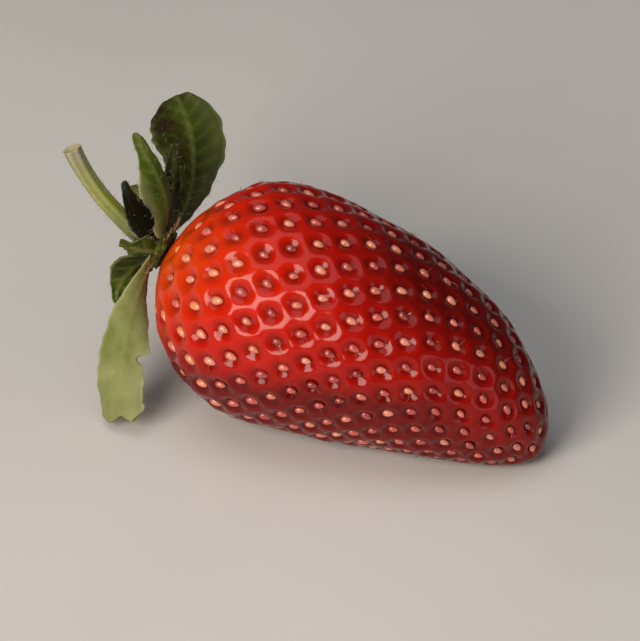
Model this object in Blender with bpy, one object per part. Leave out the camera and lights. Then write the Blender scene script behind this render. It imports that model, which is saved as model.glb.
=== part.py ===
"""A fresh strawberry with its green calyx and stalk, lying on its side.

The berry's axis is a curve in the XZ plane, from the calyx at -X down to the tip at +X.
A point of the skin is named by its distance along that axis and its angle round it,
counted from the top towards +Y. Units are metres, +Z is up, and the origin lies in the
flat spot that the berry rests on.
"""

import math

import bmesh
import bpy
import numpy as np

MM = 0.001

# The flesh is a turned profile on a bent axis.
AXIS_LENGTH = 51.4 * MM
RADIUS = 14.7 * MM
SHOULDER = 13.9 * MM  # distance of the widest ring from the calyx end
PROFILE_POWER = 1.8
TIP_BLUNTNESS = 0.6
BEND = math.radians(48)  # slope of the axis at the tip
NECK_TILT = math.radians(18.5)  # extra slope at the calyx end
NECK_FADE = 9 * MM
LUMP = 0.018  # unevenness of the radius, which fades out underneath
REST_DEPTH = 0.35 * MM  # how far the flat spot is pressed in
REST_X = 24 * MM  # middle of the flat spot, along X from the calyx end

# The seeds lie in pits, spread over the skin by the golden angle.
SEED_COUNT = 400
SEED_LENGTH = 1.6 * MM
SEED_WIDTH = 1.3 * MM
SEED_WIDEST = -0.25  # where it is widest, from -1 at its blunt end to 1 at its point
SEED_ENDS = 0.45 * MM  # how deep its ends lie, while its ridge reaches the skin
SEED_SIDES = 0.85 * MM  # how deep its two buried edges lie
PIT_DEPTH = 0.65 * MM
CROWDING = 2.3  # at the tip a patch of skin has 1 + CROWDING times the calyx end's seeds
CROWDING_POWER = 0.8
BARE_HEIGHT = 1.3 * MM  # no seeds or pits on skin closer to the floor than this
BARE_END = 1.1 * MM  # nor this close to either end of the axis

# The calyx is a small crown with leaves round it.
CALYX_LIFT = 1.2 * MM  # how far its middle lies above the axis of the berry
CALYX_TILT = math.radians(4)
CROWN_RADIUS = 2.5 * MM
CROWN_THICKNESS = 1.5 * MM
CROWN_GAP = 0.35 * MM
CROWN_SIDES = 16
LEAF_THICKNESS = 0.5 * MM
LEAF_ROOT = 1.2 * MM  # distance of a leaf's foot from the calyx axis
LEAF_ROWS = 8
LEAF_COLUMNS = 4
LEAF_CUP = 0.16  # crosswise curl, as a share of the half width
LEAF_WAVE = 0.45 * MM  # height of the waves at a leaf's edges
TORN_END = (-0.7 * MM, 0.5 * MM, -0.5 * MM, 0.4 * MM, -0.7 * MM)  # the strap's end, side to side

# Each leaf: angle round the calyx from the top, length and width in mm, lean away from
# the berry at the foot and at the tip, twist along its length (degrees), and the kind of
# outline: a long point, a broad blade with a blunt end, or a strap with a torn end.
LEAVES = (
    (79.5, 23.6, 9.6, -4, 51, -101, "broad"),
    (20, 13.2, 5.0, 29, 58, -57, "point"),
    (-29, 12.5, 3.2, 50, 8, -30, "point"),
    (48, 11.5, 3.6, 20, 30, -60, "point"),
    (108, 14.5, 4.6, 20, 46, -14, "point"),
    (136, 15.5, 6.2, 4, 38, 20, "point"),
    (165, 11.0, 4.4, 10, 8, -20, "point"),
    (-157, 8.2, 4.8, 44, -28, 70, "point"),
    (-141, 20.1, 7.0, -5, -35, 125, "strap"),
    (-85, 4.6, 3.6, 48, 66, -10, "point"),
)

# The stalk leaves the crown along the calyx axis and bends upwards.
STALK_LENGTH = 15 * MM
STALK_RADIUS = 1.05 * MM
STALK_FOOT_FLARE = 0.4 * MM
STALK_END_FLARE = 0.1 * MM
STALK_LEAN = math.radians(43)  # total turn from the calyx axis
STALK_FIRST_TURN = 0.12  # share of that turn that it has where it leaves the crown
STALK_GAP = 0.4 * MM
STALK_SIDES = 12
STALK_RINGS = 9

GOLDEN_ANGLE = math.pi * (3 - math.sqrt(5))


def axis_slope(along):
    """Downward slope of the berry's axis at a distance from the calyx end."""
    return BEND * (along / AXIS_LENGTH) ** 2 + NECK_TILT * np.exp(-along / NECK_FADE)


def axis_table(steps=600):
    """Distances along the axis with the X and Z that its slope adds up to."""
    along = np.linspace(0, AXIS_LENGTH, steps)
    slope = axis_slope((along[1:] + along[:-1]) / 2)
    step = along[1]
    x = np.concatenate([[0], np.cumsum(np.cos(slope) * step)])
    z = np.concatenate([[0], -np.cumsum(np.sin(slope) * step)])
    return along, x, z


AXIS = axis_table()


def radius_at(along):
    """Radius of the turned profile: a rounded shoulder, then a blunt cone."""
    before = np.clip(1 - along / SHOULDER, 0, 1)
    after = np.clip((along - SHOULDER) / (AXIS_LENGTH - SHOULDER), 0, 1)
    shoulder = (1 - before**PROFILE_POWER) ** (1 / PROFILE_POWER)
    cone = (1 - after**PROFILE_POWER) ** TIP_BLUNTNESS
    return RADIUS * np.where(along < SHOULDER, shoulder, cone)


def lump_at(along, turn):
    """Factor on the radius that makes the upper side slightly uneven."""
    wave = np.cos(2 * turn + 1) + 0.6 * np.cos(3 * turn - 0.7 + 2 * np.pi * along / AXIS_LENGTH)
    return 1 + LUMP * wave * (0.5 + 0.5 * np.cos(turn))


def raw_skin(along, turn):
    """Points of the skin with the calyx end at the origin, before it is set down."""
    along, turn = np.broadcast_arrays(along, turn)
    slope = axis_slope(along)
    radius = radius_at(along) * lump_at(along, turn)
    up = radius * np.cos(turn)
    x = np.interp(along, AXIS[0], AXIS[1]) + up * np.sin(slope)
    z = np.interp(along, AXIS[0], AXIS[2]) + up * np.cos(slope)
    return np.stack([x, radius * np.sin(turn), z], axis=-1)


def rest_offset():
    """Shift that puts the flat spot on Z = 0 with its middle at the origin."""
    along, turn = np.meshgrid(np.linspace(0, AXIS_LENGTH, 200), np.linspace(0, 2 * np.pi, 181))
    lowest = raw_skin(along, turn)[..., 2].min()
    return np.array([-REST_X, 0, -lowest - REST_DEPTH])


OFFSET = rest_offset()


def skin(along, turn, lift=0.0):
    """Points of the skin, moved out along the skin's normal by lift."""
    nudge = 1e-5
    centre = raw_skin(along, turn)
    ahead = raw_skin(np.minimum(along + nudge, AXIS_LENGTH), turn)
    behind = raw_skin(np.maximum(along - nudge, 0), turn)
    left = raw_skin(along, turn + 0.001)
    right = raw_skin(along, turn - 0.001)
    normal = np.cross(ahead - behind, left - right)
    size = np.linalg.norm(normal, axis=-1, keepdims=True)
    normal = normal / np.maximum(size, 1e-15)
    return centre + OFFSET + normal * np.asarray(lift)[..., None], normal


def seed_sites():
    """Distances and angles of the seeds: equal shares of skin, a golden angle apart."""
    along = np.linspace(0, AXIS_LENGTH, 2000)
    slant = np.hypot(np.gradient(radius_at(along), along), 1)
    crowding = 1 + CROWDING * (along / AXIS_LENGTH) ** CROWDING_POWER
    share = np.cumsum(radius_at(along) * slant * crowding)
    index = np.arange(SEED_COUNT)
    site_along = np.interp((index + 0.5) / SEED_COUNT, share / share[-1], along)
    return site_along, (index * GOLDEN_ANGLE) % (2 * np.pi)


def straight_point(along, turn):
    """Point of the profile on an unbent axis, where the skin is convex all over."""
    radius = radius_at(along)
    return (along, radius * math.sin(turn), radius * math.cos(turn))


def remove_everything():
    """Empties the scene."""
    for obj in list(bpy.data.objects):
        bpy.data.objects.remove(obj, do_unlink=True)


def material(name, colour, roughness, subsurface=0.0):
    """Principled material in one linear colour."""
    mat = bpy.data.materials.new(name)
    mat.use_nodes = True
    shader = mat.node_tree.nodes["Principled BSDF"]
    shader.inputs["Base Color"].default_value = (*colour, 1)
    shader.inputs["Roughness"].default_value = roughness
    shader.inputs["Metallic"].default_value = 0
    shader.inputs["Subsurface Weight"].default_value = subsurface
    mat.diffuse_color = (*colour, 1)
    return mat


def add_object(name, bm, mat, collection=None):
    """Turns a bmesh into an object with outward faces."""
    bmesh.ops.recalc_face_normals(bm, faces=bm.faces)
    mesh = bpy.data.meshes.new(name)
    bm.to_mesh(mesh)
    bm.free()
    mesh.materials.append(mat)
    obj = bpy.data.objects.new(name, mesh)
    (collection or bpy.context.scene.collection).objects.link(obj)
    return obj


def join_rings(bm, rings):
    """Quads between rings of vertices, with a fan of triangles round each end's vertex."""
    for lower, upper in zip(rings, rings[1:]):
        count = len(lower)
        for k in range(count):
            after = (k + 1) % count
            bm.faces.new((lower[k], lower[after], upper[after], upper[k]))
    ends = []
    for ring in (rings[0], rings[-1]):
        end = bm.verts.new(sum((v.co for v in ring[1:]), ring[0].co.copy()) / len(ring))
        for k in range(len(ring)):
            bm.faces.new((ring[k], ring[(k + 1) % len(ring)], end))
        ends.append(end)
    return ends


def fuse(base, collection):
    """One Boolean union of the base with a collection, whose objects are then removed."""
    union = base.modifiers.new("union", "BOOLEAN")
    union.operation = "UNION"
    union.operand_type = "COLLECTION"
    union.collection = collection
    union.solver = "EXACT"
    bpy.context.view_layer.update()
    graph = bpy.context.evaluated_depsgraph_get()
    fused = bpy.data.meshes.new_from_object(base.evaluated_get(graph))
    base.modifiers.clear()
    base.data = fused
    for obj in list(collection.objects):
        bpy.data.objects.remove(obj, do_unlink=True)
    bpy.data.collections.remove(collection)


def new_collection(name):
    """Collection linked to the scene."""
    collection = bpy.data.collections.new(name)
    bpy.context.scene.collection.children.link(collection)
    return collection


def drop_scraps(obj):
    """Keeps the largest connected piece of a mesh and splits its faces into triangles."""
    bm = bmesh.new()
    bm.from_mesh(obj.data)
    bmesh.ops.triangulate(bm, faces=bm.faces)
    unseen = set(bm.verts)
    pieces = []
    while unseen:
        stack = [unseen.pop()]
        piece = set(stack)
        while stack:
            for edge in stack.pop().link_edges:
                for vert in edge.verts:
                    if vert in unseen:
                        unseen.remove(vert)
                        piece.add(vert)
                        stack.append(vert)
        pieces.append(piece)
    largest = max(pieces, key=len)
    scraps = [vert for piece in pieces if piece is not largest for vert in piece]
    bmesh.ops.delete(bm, geom=scraps, context="VERTS")
    bm.to_mesh(obj.data)
    bm.free()


def shade_round(obj, angle=50):
    """Smooth shading with the edges sharper than an angle kept sharp."""
    obj.data.shade_smooth()
    obj.data.set_sharp_from_angle(angle=math.radians(angle))


def pitted_flesh(site_along, site_turn, pitted):
    """Skin of six-sided pits: each seed site is a cell whose corners are the rims."""
    hull = bmesh.new()
    for along, turn in zip(site_along, site_turn):
        hull.verts.new(straight_point(along, turn))
    hull.verts.index_update()
    bmesh.ops.convex_hull(hull, input=hull.verts)
    hull.faces.index_update()

    depth = np.where(pitted, PIT_DEPTH, 0)
    sites, _ = skin(site_along, site_turn, -depth)
    corners = np.array([np.mean([v.co for v in face.verts], axis=0) for face in hull.faces])
    corner_turn = np.arctan2(corners[:, 1], corners[:, 2])
    rims, _ = skin(corners[:, 0], corner_turn)

    bm = bmesh.new()
    middles = [bm.verts.new(point) for point in sites]
    rim_verts = [bm.verts.new(point) for point in rims]
    for edge in hull.edges:
        first, second = (face.index for face in edge.link_faces)
        for vert in edge.verts:
            bm.faces.new((middles[vert.index], rim_verts[first], rim_verts[second]))
    hull.free()
    bmesh.ops.recalc_face_normals(bm, faces=bm.faces)
    return bm


def press_flat(bm):
    """Cuts the underside off at Z = 0 and closes it with a flat face."""
    everything = bm.verts[:] + bm.edges[:] + bm.faces[:]
    bmesh.ops.bisect_plane(
        bm, geom=everything, dist=1e-7, plane_co=(0, 0, 0), plane_no=(0, 0, -1), clear_outer=True
    )
    rim = [edge for edge in bm.edges if edge.is_boundary]
    bmesh.ops.contextual_create(bm, geom=rim)
    bmesh.ops.triangulate(bm, faces=[face for face in bm.faces if len(face.verts) > 4])


def add_seed(name, site, normal, forward, mat, collection):
    """A seed: a ridged drop, blunt towards the calyx and pointed towards the tip."""
    side = np.cross(normal, forward)
    middle = site + forward * SEED_WIDEST * SEED_LENGTH / 2
    bm = bmesh.new()
    ring = [
        bm.verts.new(middle),
        bm.verts.new(middle - normal * SEED_SIDES - side * SEED_WIDTH / 2),
        bm.verts.new(middle - normal * SEED_SIDES + side * SEED_WIDTH / 2),
    ]
    for end, place in zip(join_rings(bm, [ring]), (-1, 1)):
        end.co = site - normal * SEED_ENDS + forward * place * SEED_LENGTH / 2
    add_object(name, bm, mat, collection)


def build_berry():
    """The flesh with its pits and fused seeds, flat where it rests."""
    site_along, site_turn = seed_sites()
    sites, normals = skin(site_along, site_turn)
    height = sites[:, 2]
    pitted = height > BARE_HEIGHT
    pitted &= (site_along > BARE_END) & (site_along < AXIS_LENGTH - BARE_END)
    flesh = material("strawberry flesh", (0.42, 0.022, 0.014), 0.28, 0.1)

    bm = pitted_flesh(site_along, site_turn, pitted)
    press_flat(bm)
    berry = add_object("berry", bm, flesh)

    seeds = new_collection("seeds")
    ahead, _ = skin(np.minimum(site_along + 0.1 * MM, AXIS_LENGTH), site_turn)
    for k in np.flatnonzero(pitted):
        forward = ahead[k] - sites[k]
        forward = forward - normals[k] * forward.dot(normals[k])
        forward = forward / np.linalg.norm(forward)
        add_seed(f"seed_{k}", sites[k], normals[k], forward, flesh, seeds)
    fuse(berry, seeds)
    drop_scraps(berry)
    shade_round(berry, 32)


def calyx_frame():
    """Foot of the calyx on the skin, its outward direction, its upward one and the one across."""
    slope = float(axis_slope(0.0))
    foot = OFFSET + CALYX_LIFT * np.array([math.sin(slope), 0, math.cos(slope)])
    slope += CALYX_TILT
    outward = np.array([-math.cos(slope), 0, math.sin(slope)])
    upward = np.array([math.sin(slope), 0, math.cos(slope)])
    return foot, outward, upward, np.array([0.0, 1.0, 0.0])


def add_crown(mat):
    """Domed disc on the calyx end, hollowed to keep a gap to the shoulder."""
    origin, outward, upward, across = calyx_frame()
    # Each ring: share of the crown's radius, and height over the skin below it.
    rings = ((0.45, 0), (1, 0.1), (1, 0.55), (0.5, 1))
    bm = bmesh.new()
    loops = []
    for share, rise in rings:
        radius = share * CROWN_RADIUS
        fall = SHOULDER * (1 - (1 - (radius / RADIUS) ** PROFILE_POWER) ** (1 / PROFILE_POWER))
        height = CROWN_GAP + rise * CROWN_THICKNESS - fall * (1 - rise)
        loop = []
        for k in range(CROWN_SIDES):
            angle = 2 * math.pi * k / CROWN_SIDES
            spoke = upward * math.cos(angle) + across * math.sin(angle)
            loop.append(bm.verts.new(origin + spoke * radius + outward * height))
        loops.append(loop)
    join_rings(bm, loops)
    return add_object("calyx", bm, mat)


def leaf_outline(along, kind):
    """Half width of a leaf as a share of its widest, from foot (0) to end (1)."""
    if kind == "strap":
        return 0.3 + 0.7 * np.minimum(along / 0.7, 1) ** 1.2
    if kind == "broad":
        blunt_end = np.sqrt(1 - (np.clip(along - 0.72, 0, 1) / 0.3) ** 2)
        return (0.22 + 0.78 * np.minimum(along / 0.72, 1) ** 1.3) * blunt_end
    return (0.5 + 0.5 * np.sin(np.pi * np.minimum(along / 0.8, 1) ** 0.8)) * np.sqrt(1 - along**2.6) + 0.03


def add_leaf(index, leaf, mat, collection):
    """A thin wavy leaf, thickened both ways from a curved and twisted middle sheet."""
    angle, length, width, lean_foot, lean_tip, twist, kind = leaf
    origin, outward, upward, across = calyx_frame()
    turn = math.radians(angle)
    spoke = upward * math.cos(turn) + across * math.sin(turn)
    flank = -upward * math.sin(turn) + across * math.cos(turn)

    share = np.linspace(0, 1, LEAF_ROWS)
    lean = np.radians(lean_foot + (lean_tip - lean_foot) * share)
    step = length * MM / (LEAF_ROWS - 1)
    middle_lean = (lean[1:] + lean[:-1]) / 2
    run = np.concatenate([[0], np.cumsum(np.cos(middle_lean) * step)])
    rise = np.concatenate([[0], np.cumsum(np.sin(middle_lean) * step)])
    foot = origin + outward * (CROWN_GAP + 0.6 * CROWN_THICKNESS) + spoke * LEAF_ROOT
    spin = np.radians(twist) * np.sin(np.pi / 2 * share)
    half = width * MM / 2 * leaf_outline(share, kind)

    bm = bmesh.new()
    sheets = ([], [])
    for row in range(LEAF_ROWS):
        face = outward * math.cos(lean[row]) - spoke * math.sin(lean[row])
        side = flank * math.cos(spin[row]) + face * math.sin(spin[row])
        normal = face * math.cos(spin[row]) - flank * math.sin(spin[row])
        along_leaf = spoke * math.cos(lean[row]) + outward * math.sin(lean[row])
        lines = ([], [])
        for column in range(LEAF_COLUMNS + 1):
            v = 2 * column / LEAF_COLUMNS - 1
            lift = LEAF_CUP * half[row] * v * v
            lift += LEAF_WAVE * share[row] * abs(v) * math.sin(9 * share[row] + 2.4 * v + index)
            tooth = 0.0
            if kind == "strap" and row == LEAF_ROWS - 1:
                tooth = TORN_END[column]
            middle = foot + spoke * run[row] + outward * rise[row]
            middle = middle + side * v * half[row] + normal * lift + along_leaf * tooth
            for line, sign in zip(lines, (-1, 1)):
                line.append(bm.verts.new(middle + normal * sign * LEAF_THICKNESS / 2))
        for sheet, line in zip(sheets, lines):
            sheet.append(line)

    last_row, last_column = LEAF_ROWS - 1, LEAF_COLUMNS
    for sheet in sheets:
        for row in range(last_row):
            for column in range(last_column):
                corners = (sheet[row][column], sheet[row][column + 1])
                others = (sheet[row + 1][column + 1], sheet[row + 1][column])
                bm.faces.new((corners[0], corners[1], others[0]))
                bm.faces.new((corners[0], others[0], others[1]))
    border = [(0, c) for c in range(last_column)]
    border += [(r, last_column) for r in range(last_row)]
    border += [(last_row, c) for c in range(last_column, 0, -1)]
    border += [(r, 0) for r in range(last_row, 0, -1)]
    for (r1, c1), (r2, c2) in zip(border, border[1:] + border[:1]):
        bm.faces.new((sheets[0][r1][c1], sheets[0][r2][c2], sheets[1][r2][c2], sheets[1][r1][c1]))
    add_object(f"leaf_{index}", bm, mat, collection)


def build_calyx():
    """The crown and its leaves, fused into one green cap."""
    green = material("calyx green", (0.075, 0.09, 0.022), 0.55)
    calyx = add_crown(green)
    leaves = new_collection("leaves")
    for index, leaf in enumerate(LEAVES):
        add_leaf(index, leaf, green, leaves)
    fuse(calyx, leaves)
    drop_scraps(calyx)
    shade_round(calyx)


def build_stalk():
    """The stalk: a round tube that bends upwards and widens at its foot and cut end."""
    origin, outward, upward, across = calyx_frame()
    centre = origin + outward * (CROWN_GAP + CROWN_THICKNESS + STALK_GAP)
    step = STALK_LENGTH / (STALK_RINGS - 1)
    bm = bmesh.new()
    loops = []
    for ring in range(STALK_RINGS):
        share = ring / (STALK_RINGS - 1)
        if ring:
            lean = STALK_LEAN * (STALK_FIRST_TURN + (1 - STALK_FIRST_TURN) * share)
            centre = centre + (outward * math.cos(lean) + upward * math.sin(lean)) * step
        ring_lean = STALK_LEAN * share**0.8
        radial = upward * math.cos(ring_lean) - outward * math.sin(ring_lean)
        flare = STALK_FOOT_FLARE * (1 - share) ** 4 + STALK_END_FLARE * share**6
        radius = STALK_RADIUS + flare
        loop = []
        for k in range(STALK_SIDES):
            angle = 2 * math.pi * k / STALK_SIDES
            spoke = radial * math.cos(angle) + across * math.sin(angle)
            loop.append(bm.verts.new(centre + spoke * radius))
        loops.append(loop)
    join_rings(bm, loops)
    stalk = add_object("stalk", bm, material("stalk green", (0.2, 0.2, 0.06), 0.5))
    shade_round(stalk)


def main():
    remove_everything()
    build_berry()
    build_calyx()
    build_stalk()


main()
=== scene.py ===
"""Looks of a fresh strawberry with its calyx and stalk, lying on its side."""
import logging
import math
from dataclasses import dataclass
from enum import Enum
from functools import cached_property

import bpy
import numpy as np
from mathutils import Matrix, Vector


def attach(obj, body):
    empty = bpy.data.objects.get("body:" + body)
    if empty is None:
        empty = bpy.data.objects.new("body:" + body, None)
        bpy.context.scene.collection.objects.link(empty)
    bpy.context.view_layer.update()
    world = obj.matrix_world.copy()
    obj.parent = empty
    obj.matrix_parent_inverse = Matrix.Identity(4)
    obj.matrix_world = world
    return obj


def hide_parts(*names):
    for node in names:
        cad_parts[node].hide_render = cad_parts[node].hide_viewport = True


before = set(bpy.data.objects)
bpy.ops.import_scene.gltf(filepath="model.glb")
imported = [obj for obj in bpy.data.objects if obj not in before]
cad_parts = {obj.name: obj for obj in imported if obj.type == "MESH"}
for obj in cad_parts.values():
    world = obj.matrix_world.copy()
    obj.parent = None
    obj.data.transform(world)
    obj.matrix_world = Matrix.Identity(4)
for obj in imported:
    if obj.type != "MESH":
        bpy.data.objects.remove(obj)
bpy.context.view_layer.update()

LOG = logging.getLogger("strawberry")
MM = 0.001
GOLDEN_ANGLE = math.pi * (3 - math.sqrt(5))
Array = np.ndarray
Socket = bpy.types.NodeSocket
Stops = tuple[tuple[float, str], ...]


def linear(code: str) -> tuple[float, float, float, float]:
    """Turns an sRGB hex colour into linear red, green, blue and alpha.

    Args:
        code: Six hex digits after a hash sign.

    Returns:
        Four numbers from 0 to 1, the last of them 1.
    """
    parts = [int(code[k : k + 2], 16) / 255 for k in (1, 3, 5)]
    red, green, blue = (c / 12.92 if c <= 0.04045 else ((c + 0.055) / 1.055) ** 2.4 for c in parts)
    return red, green, blue, 1.0


def unit(vectors: Array) -> Array:
    """Each vector divided by its own length."""
    return vectors / np.maximum(np.linalg.norm(vectors, axis=-1, keepdims=True), 1e-15)


def ring_angles(sides: int) -> Array:
    """Even angles round a ring, which stop short of the full turn."""
    return np.linspace(0, 2 * np.pi, sides, endpoint=False)


def ring_uv(along: Array, angle: Array) -> Array:
    """Texture places of a tube: its own way along it, and the share of a turn round it."""
    return np.stack(np.meshgrid(along, angle / (2 * np.pi), indexing="ij"), -1)


def smooth(low: float, high: float, value: Array) -> Array:
    """Rises from 0 at low to 1 at high along a cubic with flat ends."""
    share = np.clip((value - low) / (high - low), 0, 1)
    return share * share * (3 - 2 * share)


def scatter(index: Array, salt: float) -> Array:
    """Even, repeatable values from 0 to 1: the fraction left of a large sine."""
    return np.modf(np.abs(np.sin(np.asarray(index) * 12.9898 + salt * 78.233) * 43758.5453))[0]


@dataclass
class Skin3D:
    """Vertices, quads and triangles of one piece, with values held at its vertices."""

    points: Array
    quads: Array
    triangles: Array
    values: dict[str, Array]
    uv: Array

    @staticmethod
    def tubes(grids: Array, values: dict[str, Array], uv: Array) -> "Skin3D":
        """Closes grids of rings, each with a fan round the middle of its two end rings.

        Args:
            grids: Points, tubes by rings by places round them by three.
            values: Numbers at the grids' points.
            uv: Texture place of each point of one tube, or of all of them.

        Returns:
            One closed skin of all the tubes, turned so that its faces point outwards.
        """
        count, rows, columns = grids.shape[:3]
        body = rows * columns
        each = body + 2

        def flat(field: Array) -> Array:
            """Rows of a field tube by tube, each followed by the means of its end rings.

            Args:
                field: Values by tube, ring and place round it.

            Returns:
                One row of values per vertex.
            """
            own = field.reshape(count, body, -1)
            ends = np.stack([field[:, 0].mean(1), field[:, -1].mean(1)], 1).reshape(count, 2, -1)
            return np.concatenate([own, ends], 1).reshape(count * each, -1)

        row, column = np.meshgrid(np.arange(rows - 1), np.arange(columns), indexing="ij")
        here, after = row * columns + column, row * columns + (column + 1) % columns
        quads = np.stack([here, after, after + columns, here + columns], -1).reshape(-1, 4)
        ring = np.arange(columns)
        beyond = (ring + 1) % columns
        top = body - columns
        fans = [
            np.stack([beyond, ring, np.full(columns, body)], -1),
            np.stack([top + ring, top + beyond, np.full(columns, body + 1)], -1),
        ]
        starts = (np.arange(count) * each)[:, None, None]
        wide_uv = np.broadcast_to(uv, (count, rows, columns, 2))
        made = Skin3D(
            flat(grids),
            (quads[None] + starts).reshape(-1, 4),
            (np.concatenate(fans)[None] + starts).reshape(-1, 3),
            {name: flat(np.broadcast_to(v, grids.shape[:3]))[:, 0] for name, v in values.items()},
            flat(wide_uv),
        )
        return made.outward()

    @staticmethod
    def tube(grid: Array, values: dict[str, Array], uv: Array) -> "Skin3D":
        """One closed tube: a grid of rings with a fan at each end."""
        return Skin3D.tubes(grid[None], {k: v[None] for k, v in values.items()}, uv)

    def volume(self) -> float:
        """Signed volume: a sixth of the sum of each triangle's three corners' triple product.

        Returns:
            Cubic metres, less than 0 if the faces point inwards.
        """
        p, q, t = self.points, self.quads, self.triangles
        tris = np.concatenate([t, q[:, [0, 1, 2]], q[:, [0, 2, 3]]])
        a, b, c = (p[tris[:, k]] for k in range(3))
        return float(np.einsum("ij,ij->", a, np.cross(b, c)) / 6)

    def outward(self) -> "Skin3D":
        """Turns every face round if the closed skin is inside out.

        Returns:
            The skin itself.
        """
        if self.volume() < 0:
            self.quads = self.quads[:, ::-1]
            self.triangles = self.triangles[:, ::-1]
        return self

    @staticmethod
    def joined(skins: list["Skin3D"]) -> "Skin3D":
        """Puts several skins into one, with their indices moved on.

        Args:
            skins: Skins that hold the same values.

        Returns:
            The joined skin.
        """
        starts = np.cumsum([0] + [len(s.points) for s in skins[:-1]])
        return Skin3D(
            np.concatenate([s.points for s in skins]),
            np.concatenate([s.quads + n for s, n in zip(skins, starts)]),
            np.concatenate([s.triangles + n for s, n in zip(skins, starts)]),
            {k: np.concatenate([s.values[k] for s in skins]) for k in skins[0].values},
            np.concatenate([s.uv for s in skins]),
        )

    def to_object(self, name: str, material: bpy.types.Material) -> bpy.types.Object:
        """Writes the skin into a new smooth-shaded object at the origin.

        Args:
            name: Name of the object.
            material: Its only material.

        Returns:
            The linked object.
        """
        mesh = bpy.data.meshes.new(name)
        quads, tris = self.quads.astype(np.int32), self.triangles.astype(np.int32)
        loops = np.concatenate([quads.reshape(-1), tris.reshape(-1)])
        sizes = np.concatenate([np.full(len(quads), 4), np.full(len(tris), 3)]).astype(np.int32)
        mesh.vertices.add(len(self.points))
        mesh.vertices.foreach_set("co", self.points.astype(np.float32).reshape(-1))
        mesh.loops.add(len(loops))
        mesh.loops.foreach_set("vertex_index", loops)
        mesh.polygons.add(len(sizes))
        starts = np.concatenate([[0], np.cumsum(sizes)[:-1]]).astype(np.int32)
        mesh.polygons.foreach_set("loop_start", starts)
        mesh.polygons.foreach_set("use_smooth", np.ones(len(sizes), dtype=bool))
        mesh.update(calc_edges=True)
        layer = mesh.uv_layers.new(name="UVMap")
        layer.data.foreach_set("uv", self.uv[loops].astype(np.float32).reshape(-1))
        for key, held in self.values.items():
            attribute = mesh.attributes.new(key, "FLOAT", "POINT")
            attribute.data.foreach_set("value", held.astype(np.float32))
        mesh.validate()
        mesh.materials.append(material)
        obj = bpy.data.objects.new(name, mesh)
        bpy.context.scene.collection.objects.link(obj)
        return obj


class NodeKit:
    """A new material's node tree: one way to add a node, and the patterns made of nodes."""

    def __init__(self, name: str) -> None:
        """Makes the material and finds its shader.

        Args:
            name: Name of the material.
        """
        self.material = bpy.data.materials.new(name)
        self.material.use_nodes = True
        self.tree = self.material.node_tree
        self.shader = self.tree.nodes["Principled BSDF"]

    def add(
        self, kind: str, settings: dict | None = None, take: int | str = 0, **inputs: object
    ) -> Socket:
        """Adds a node, sets its properties, and fills or links its inputs.

        Args:
            kind: Type name without the words ShaderNode.
            settings: Properties of the node itself, or stops for its colour band.
            take: Place or name of the output that is wanted.
            **inputs: What goes into its inputs, as fill() takes it.

        Returns:
            The wanted output.
        """
        node = self.tree.nodes.new("ShaderNode" + kind)
        for key, value in (settings or {}).items():
            if key == "stops":
                self.lay_stops(node.color_ramp, value)
            else:
                setattr(node, key, value)
        self.fill(node, inputs)
        return node.outputs[take]

    def fill(self, node: bpy.types.Node, inputs: dict[str, object]) -> None:
        """Sets or links a node's inputs.

        Args:
            node: The node.
            inputs: By input name with _ for a space, or in0, in1 by place: a socket, a value,
                a hex colour, or the name of a number that the mesh holds at its vertices.
        """
        for key, value in inputs.items():
            socket = node.inputs[int(key[2:]) if key[2:].isdigit() else key.replace("_", " ")]
            if isinstance(value, str) and not value.startswith("#"):
                value = self.add("Attribute", {"attribute_name": value}, "Fac")
            if isinstance(value, Socket):
                self.tree.links.new(value, socket)
            else:
                socket.default_value = linear(value) if isinstance(value, str) else value

    @staticmethod
    def lay_stops(band: bpy.types.ColorRamp, stops: Stops) -> None:
        """Lays colours along a band.

        Args:
            band: A new band, with its two first elements.
            stops: Places along it, each with a hex colour.
        """
        while len(band.elements) < len(stops):
            band.elements.new(0.5)
        for element, (place, code) in zip(band.elements, stops):
            element.position = place
            element.color = linear(code)

    def shade(self, **inputs: object) -> bpy.types.Material:
        """Fills the shader's inputs, as fill() takes them, and returns the finished material."""
        self.fill(self.shader, inputs)
        return self.material

    def grain(self, size: float, detail: float) -> Socket:
        """Noise of about 0.5 in object space, whose blotches are about size metres wide."""
        place = self.add("TexCoord", take="Object")
        return self.add("TexNoise", Vector=place, Scale=0.6 / size, Detail=detail, Roughness=0.5)

    def varied(self, value: object, amount: float, size: float, detail: float) -> Socket:
        """A number plus amount * (grain - 0.5), which varies it and keeps its mean."""
        swing = self.add("Math", {"operation": "SUBTRACT"}, in0=self.grain(size, detail), in1=0.5)
        return self.add("Math", {"operation": "MULTIPLY_ADD"}, in0=swing, in1=amount, in2=value)

    def over(self, below: object, colour: str, share: object, amount: object = 1.0) -> Socket:
        """Lays a colour over the one below with a strength of share * amount, from 0 to 1."""
        strength = self.add("Math", {"operation": "MULTIPLY"}, in0=share, in1=amount)
        return self.add("Mix", {"data_type": "RGBA"}, 2, Factor=strength, in6=below, in7=colour)

    def relief(self, size: float, detail: float, depth: float, strength: float) -> Socket:
        """Normals of a grain that is depth metres deep, of which strength is the share used."""
        height = self.grain(size, detail)
        return self.add("Bump", Strength=strength, Distance=depth, Height=height)


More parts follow.
